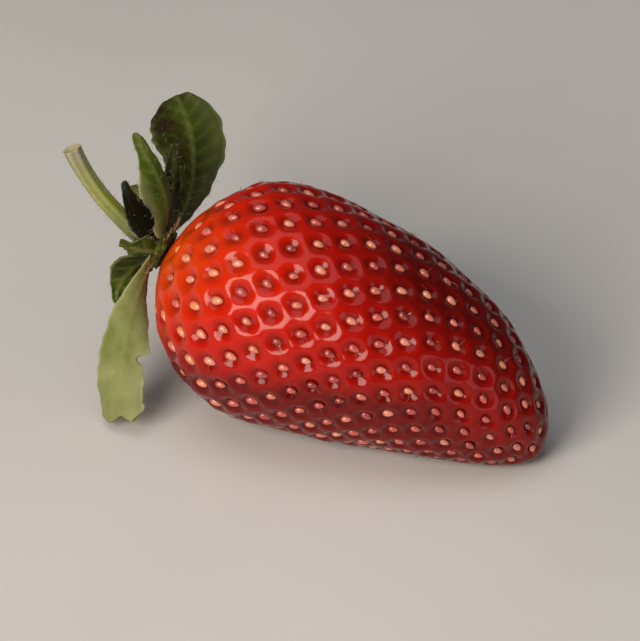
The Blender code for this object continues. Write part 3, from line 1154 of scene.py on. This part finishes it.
        # Painted shade: one side of the leaf is browned where it turns from the light.
        painted_side_shade = abs(leaf.painted_shade_side) * smooth(0, 0.35, v * np.sign(leaf.painted_shade_side))
        painted_side_shade = painted_side_shade * smooth(0.25, 0.6, u)
        # One side is paler from the foot to pale_end.
        paler_side = abs(leaf.pale) * smooth(0.1, 0.8, v * np.sign(leaf.pale))
        paler_side = paler_side * smooth(leaf.pale_end, leaf.pale_end - 0.4, u)
        rim = smooth(0.86, 1.0, np.abs(v)) * np.maximum(0.35 + leaf.tone, 0) + 0 * u
        values = {
            "tone": tone + 0 * v,
            "vein": lines * smooth(-0.1, 0.2, leaf.tone),
            "edge": np.clip(0.8 * rim + paler_side, 0, 1),
            # Dried ends, and the painted shade of one side.
            "dry": np.clip(leaf.dry * smooth(0.6, 1.0, u) + painted_side_shade, 0, 1),
        }
        uv = np.stack([(v + 1) / 2, u + 0 * v], -1)
        return points, values, uv

    def crown_skin(self) -> Skin3D:
        """The crown: a domed disc whose rim has a low bump for each leaf.

        Its under side keeps its gap to the shoulder's superellipse. Its top falls from the
        middle to the rim by a cubic.

        Returns:
            The closed skin.
        """
        origin, outward, upward, cross = self.form.calyx_frame()
        form = self.form
        angle = ring_angles(self.crown_sides)[None, :]
        sweep = np.linspace(0, 1, self.crown_rings)[:, None]
        # Under side from the middle out, round the rim, then over the top to the middle.
        share = np.where(sweep < 0.5, 2 * sweep, 2 - 2 * sweep) ** 0.8 * 0.97 + 0.02
        bump = np.cos(self.bumps * angle) * share
        radius = share * self.crown_radius * (1 + 0.03 * bump)
        fall = form.shoulder * (1 - (1 - (radius / form.radius) ** form.power) ** (1 / form.power))
        dome = self.crown_thickness * (1 - 0.75 * share**3)
        top = dome + self.bump_height * bump + fall * (1 - share)
        height = self.crown_gap - fall + np.where(sweep < 0.5, 0, top)
        spoke = np.cos(angle)[..., None] * upward + np.sin(angle)[..., None] * cross
        points = origin + spoke * radius[..., None] + outward * height[..., None]
        flat = np.zeros_like(radius)
        values = {"tone": flat + 0.4, "vein": flat + 0.3, "edge": flat, "dry": flat + 0.9}
        uv = np.stack([angle / (2 * np.pi) + flat, sweep + flat], -1)
        return Skin3D.tube(points, values, uv)

    def build(self) -> bpy.types.Object:
        """Builds the crown and its leaves.

        Returns:
            Both as one piece.
        """
        skins = [Skin3D.tube(*self.leaf_grid(k, leaf)) for k, leaf in enumerate(self.leaves)]
        skins.append(self.crown_skin())
        calyx = Skin3D.joined(skins).to_object("calyx_leaves", LeafBlade().build())
        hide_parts("calyx")
        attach(calyx, "root")
        return calyx


@dataclass
class Stalk:
    """The cut stalk: a ribbed tube that bends upwards from the crown."""

    form: BerryForm
    calyx: Calyx
    length: float = 15 * MM
    radius: float = 1.05 * MM
    foot_flare: float = 0.4 * MM
    end_flare: float = 0.1 * MM
    lean: float = math.radians(43)
    first_turn: float = 0.12
    gap: float = 0.4 * MM
    ribs: int = 6
    rib_depth: float = 0.09 * MM
    rings: int = 90
    sides: int = 48

    def grid(self) -> tuple[Array, Array]:
        """Rings square to a bent line, with ribs that wind a little.

        Returns:
            Points, and how deep the grooves between the ribs are, from 0 to 1, which also sets
            their painted shade.
        """
        origin, outward, upward, cross = self.form.calyx_frame()
        share = np.linspace(0, 1, self.rings)
        lean = self.lean * (self.first_turn + (1 - self.first_turn) * share)
        step = self.length / (self.rings - 1)
        run = np.concatenate([[0], np.cumsum(np.cos(lean[1:]) * step)])
        rise = np.concatenate([[0], np.cumsum(np.sin(lean[1:]) * step)])
        start = origin + outward * (self.calyx.crown_gap + self.calyx.crown_thickness + self.gap)
        line = start + run[:, None] * outward + rise[:, None] * upward
        tilt = self.lean * share**0.8
        radial = np.cos(tilt)[:, None] * upward - np.sin(tilt)[:, None] * outward
        angle = ring_angles(self.sides)[None, :]
        u = share[:, None]
        rib = 0.5 + 0.5 * np.cos(self.ribs * angle + 1.5 * np.sin(3 * u))
        flare = self.foot_flare * (1 - u) ** 4 + self.end_flare * u**6
        radius = self.radius + flare - self.rib_depth * rib
        spoke = radial[:, None] * np.cos(angle)[..., None] + cross * np.sin(angle)[..., None]
        return line[:, None] + spoke * radius[..., None], rib

    def build(self) -> bpy.types.Object:
        """Builds the stalk, whose cut is closed by rings that sink towards the middle.

        Returns:
            The stalk piece.
        """
        points, rib = self.grid()
        middle = points[-1].mean(0)
        ahead = unit(middle - points[-2].mean(0))
        lips = np.array([0.94, 0.7, 0.35, 0.1])
        sunk = np.array([0.02, 0.12, 0.2, 0.24]) * MM
        cap = middle + (points[-1] - middle)[None] * lips[:, None, None]
        grid = np.concatenate([points, cap - ahead * sunk[:, None, None]])
        rows, flat = len(grid), np.zeros(grid.shape[:2])
        along = np.concatenate([np.linspace(0, 1, self.rings), np.ones(len(lips))])
        values = {
            "along": along[:, None] + flat,
            # How deep the grooves are, which sets their painted shade; the cut has none.
            "rib": np.concatenate([rib, np.zeros((len(lips), self.sides))]),
            "cut": (np.arange(rows)[:, None] >= self.rings) + flat,
        }
        uv = np.stack([np.linspace(0, 1, self.sides) + flat, along[:, None] + flat], -1)
        stalk = Skin3D.tube(grid, values, uv).to_object("stem", StemRind().build())
        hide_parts("stalk")
        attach(stalk, "root")
        return stalk


@dataclass
class Hairs:
    """Fine pale hairs on the leaves' edges and faces and along the stalk."""

    calyx: Calyx
    stalk: Stalk
    radius: float = 0.02 * MM
    length: float = 0.7 * MM
    droop: float = 0.12
    floor_gap: float = 0.1 * MM
    per_mm: float = 6.5
    on_edges: float = 0.55
    on_stalk: int = 260
    rings: int = 4
    sides: int = 3

    def roots(self, grid: Array, count: int, salt: float, edges: float) -> tuple[Array, Array]:
        """Picks places on a tube's skin, a share of them on its two side edges.

        Args:
            grid: The tube's points, rings by places round them by three.
            count: Number of places.
            salt: Shifts the picks.
            edges: Share of the places that lie on the side edges.

        Returns:
            Points and directions: outwards from the skin, leaning along the tube.
        """
        rows, columns = grid.shape[:2]
        index = np.arange(count)
        row = (2 + scatter(index, salt) * (rows - 5)).astype(int)
        column = (scatter(index, salt + 0.3) * columns).astype(int)
        edge = (np.round(scatter(index, salt + 0.5)) * columns / 2).astype(int)
        column = np.where(scatter(index, salt + 0.7) < edges, edge, column)
        along = np.gradient(grid, axis=0)
        across = np.roll(grid, -1, axis=1) - np.roll(grid, 1, axis=1)
        normal = unit(np.cross(along, across))
        outward = np.sign(np.sum(normal * (grid - grid.mean(1, keepdims=True)), axis=(1, 2)))
        normal = normal * outward[:, None, None]
        lean = 0.9 * scatter(index, salt + 0.9)[:, None] + 0.1
        aside = (scatter(index, salt + 1.1) - 0.5)[:, None]
        leaning = unit(along[row, column]) * lean + unit(across[row, column]) * aside
        return grid[row, column], unit(normal[row, column] + leaning)

    def build(self) -> bpy.types.Object:
        """Builds the hairs.

        A hair's middle line is root + way * length * t - Z * droop * length * t * t, and it
        thins evenly to its end, where t is 1.

        Returns:
            All of them as one piece.
        """
        picks = []
        for k, leaf in enumerate(self.calyx.leaves):
            grid, count = self.calyx.leaf_grid(k, leaf)[0], round(self.per_mm * leaf.length)
            picks.append(self.roots(grid, count, 20.0 + k, self.on_edges))
        picks.append(self.roots(self.stalk.grid()[0], self.on_stalk, 40.0, 0.0))
        root, way = (np.concatenate(part) for part in zip(*picks))
        index = np.arange(len(root))
        reach = self.length * (0.5 + 0.9 * scatter(index, 41.0))
        t = np.linspace(0, 1, self.rings)[:, None]
        line = root[:, None] + way[:, None] * (reach[:, None, None] * t)
        line[..., 2] -= self.droop * reach[:, None] * t[:, 0] ** 2
        line[..., 2] = np.maximum(line[..., 2], self.floor_gap)
        aside = unit(np.cross(way, np.array([0.3, 0.2, 0.93])))
        other = np.cross(way, aside)
        angle = ring_angles(self.sides)[:, None]
        spoke = aside[:, None] * np.cos(angle) + other[:, None] * np.sin(angle)
        taper = self.radius * (1 - 0.8 * t)
        grids = line[:, :, None] + spoke[:, None] * taper[:, :, None]
        uv = ring_uv(t[:, 0], angle[:, 0])
        hairs = Skin3D.tubes(grids, {"tone": scatter(index, 42.0)[:, None, None]}, uv)
        made = hairs.to_object("hairs", SepalHair().build())
        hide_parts("calyx")
        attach(made, "root")
        return made


@dataclass
class Stamens:
    """Dried stamens: a ring of bent brown threads, each with a small anther, under the crown."""

    form: BerryForm
    calyx: Calyx
    count: int = 26
    length: float = 2.2 * MM
    radius: float = 0.08 * MM
    clearance: float = 0.15 * MM
    rings: int = 12
    sides: int = 6

    def build(self) -> bpy.types.Object:
        """Builds the stamens.

        A thread starts under the crown and runs outwards over the skin as
        spoke * (r + length * t) + outward * rise(t), with a quarter of a sine for its rise,
        and swings aside by the square of t. Its radius has a bump of
        exp(-((t - 0.9) / 0.08) ** 2) for the anther.

        Returns:
            All of them as one piece.
        """
        origin, outward, upward, cross = self.form.calyx_frame()
        index = np.arange(self.count)
        turn = 2 * np.pi * (index + 0.7 * scatter(index, 51.0)) / self.count
        spoke = np.cos(turn)[:, None] * upward + np.sin(turn)[:, None] * cross
        flank = -np.sin(turn)[:, None] * upward + np.cos(turn)[:, None] * cross
        t = np.linspace(0, 1, self.rings)[:, None]
        reach = (self.length * (0.6 + 0.6 * scatter(index, 52.0)))[:, None, None]
        swing = (1.0 * (scatter(index, 53.0) - 0.5))[:, None, None]
        lift = (0.05 + 0.35 * scatter(index, 54.0))[:, None, None]
        base = 0.75 * self.calyx.crown_radius
        line = origin + spoke[:, None] * (base + reach * t) + flank[:, None] * reach * swing * t * t
        rise = self.calyx.crown_gap + self.clearance + reach * lift * 0.5 * np.sin(np.pi / 2 * t)
        line = line + outward * rise
        angle = ring_angles(self.sides)[:, None]
        rim = flank[:, None] * np.cos(angle) + outward * np.sin(angle)
        anther = np.exp(-(((t - 0.9) / 0.08) ** 2))
        thick = self.radius * (1 - 0.35 * t + 1.9 * anther)
        grids = line[:, :, None] + rim[:, None] * thick[:, :, None]
        tone = 0.5 * scatter(index, 55.0)[:, None, None] + 0.5 * anther[None] + 0 * angle[:, 0]
        uv = ring_uv(t[:, 0], angle[:, 0])
        stamens = Skin3D.tubes(grids, {"tone": tone}, uv).to_object("stamens", DryThread().build())
        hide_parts("calyx")
        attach(stamens, "root")
        return stamens


@dataclass(frozen=True)
class Lamp:
    """A square soft light: angles in degrees, its side in metres and its power in watts.

    Its turn is the angle from the camera's azimuth, positive to the camera's right.
    """

    name: str
    turn: float
    height: float
    side: float
    power: float
    tint: str


@dataclass
class Studio:
    """A pale floor, soft light from the camera's left, and the camera."""

    azimuth: float = 22
    elevation: float = 33
    distance: float = 0.75
    lamp_distance: float = 0.6
    frame_width: float = 76 * MM
    target: tuple[float, float, float] = (-4.0 * MM, 0.0, 13.5 * MM)
    floor_half: float = 1.5
    floor_thickness: float = 0.01
    board: Stops = ((0.35, "#d9d6d2"), (0.65, "#dfdcd8"))
    cloud: float = 40 * MM
    room: str = "#dfe2e6"
    room_strength: float = 0.1
    lamps: tuple[Lamp, ...] = (
        Lamp("key", turn=-34, height=28, side=0.34, power=3.6, tint="#fff4e8"),
        Lamp("fill", turn=40, height=8, side=0.3, power=0.4, tint="#f2f5ff"),
        Lamp("top", turn=-60, height=78, side=0.5, power=1.0, tint="#ffffff"),
    )

    def floor(self) -> None:
        """Adds a wide, thin slab of matt pale board under the berry."""
        kit = NodeKit("pale_board")
        tint = kit.add("ValToRGB", {"stops": self.board}, Fac=kit.grain(self.cloud, 3))
        board = kit.shade(Base_Color=tint, Roughness=0.75)
        half = self.floor_half
        square = ((-half, -half), (half, -half), (half, half), (-half, half))
        corners = np.array([(x, y, z) for z in (-self.floor_thickness, 0) for x, y in square])
        sides = [(k, (k + 1) % 4, (k + 1) % 4 + 4, k + 4) for k in range(4)]
        quads = np.array([(3, 2, 1, 0), (4, 5, 6, 7), *sides])
        skin = Skin3D(corners, quads, np.empty((0, 3), int), {}, corners[:, :2])
        floor = skin.to_object("floor", board)
        floor.data.shade_flat()

    def aimed(
        self, data: bpy.types.ID, azimuth: float, height: float, away: float
    ) -> bpy.types.Object:
        """Puts a lamp or camera on a sphere round the berry, facing it.

        Args:
            data: The lamp or camera.
            azimuth: Angle from -Y towards +X in degrees.
            height: Angle above the floor in degrees.
            away: Radius of the sphere in metres.

        Returns:
            The linked object.
        """
        obj = bpy.data.objects.new(data.name, data)
        a, e = math.radians(azimuth), math.radians(height)
        back = Vector((math.sin(a) * math.cos(e), -math.cos(a) * math.cos(e), math.sin(e)))
        obj.location = Vector(self.target) + back * away
        obj.rotation_euler = back.to_track_quat("Z", "Y").to_euler()
        bpy.context.scene.collection.objects.link(obj)
        return obj

    def light(self) -> None:
        """Adds the lamps, and fills the room with weak neutral light."""
        for lamp in self.lamps:
            data = bpy.data.lights.new(lamp.name, "AREA")
            data.size, data.energy, data.color = lamp.side, lamp.power, linear(lamp.tint)[:3]
            self.aimed(data, self.azimuth + lamp.turn, lamp.height, self.lamp_distance)
        world = bpy.data.worlds.new("room")
        world.use_nodes = True
        back = world.node_tree.nodes["Background"]
        back.inputs["Color"].default_value = linear(self.room)
        back.inputs["Strength"].default_value = self.room_strength
        bpy.context.scene.world = world

    def camera(self) -> None:
        """Adds a long lens at the photograph's viewing angle."""
        data = bpy.data.cameras.new("camera")
        data.lens = data.sensor_width * self.distance / self.frame_width
        data.clip_start, data.clip_end = 0.01, 10
        camera = self.aimed(data, self.azimuth, self.elevation, self.distance)
        bpy.context.scene.camera = camera

    def build(self) -> None:
        """Sets up floor, lights, camera and tone."""
        self.floor()
        self.light()
        self.camera()
        bpy.context.scene.view_settings.view_transform = "Standard"


def main() -> None:
    """Builds every piece in order and reports it."""
    logging.basicConfig(level=logging.INFO, format="%(message)s")
    form = BerryForm()
    calyx = Calyx(form)
    stalk = Stalk(form, calyx)
    skin = (Flesh(form), Seeds(form), Styles(form))
    for maker in (*skin, calyx, stalk, Hairs(calyx, stalk), Stamens(form, calyx)):
        piece = maker.build()
        LOG.info("%s: %d faces", piece.name, len(piece.data.polygons))
    Studio().build()


if __name__ == "__main__":
    main()
